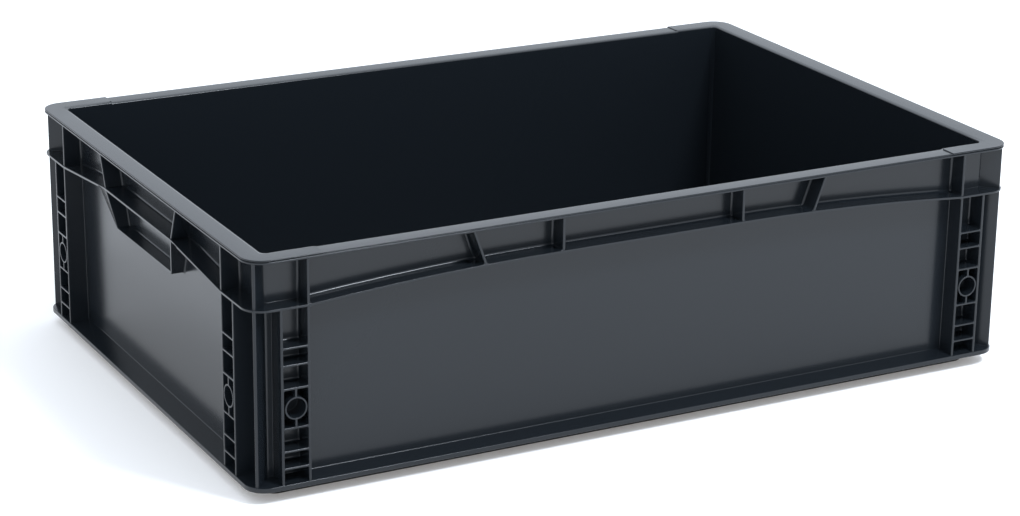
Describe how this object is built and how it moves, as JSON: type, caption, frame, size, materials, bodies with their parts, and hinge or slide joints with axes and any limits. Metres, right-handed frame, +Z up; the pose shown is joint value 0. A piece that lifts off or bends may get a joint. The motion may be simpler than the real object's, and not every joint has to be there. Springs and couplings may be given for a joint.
{
  "type": "stacking tote box",
  "caption": "Open rectangular stacking tote moulded in black conductive plastic, with ribbed walls, a shell grip in each end and a foot that nests in the rim below.",
  "frame": {"origin": "centre of the underside, on the surface that the foot stands on", "axes": "+Z up, X along the long sides, Y along the ends with the grips"},
  "size_m": [0.6, 0.4, 0.17],
  "materials": {
    "black_polypropylene": "satin moulded conductive polypropylene, charcoal black"
  },
  "bodies": {
    "root": {"tote_box": "black_polypropylene"}
  },
  "joints": []
}
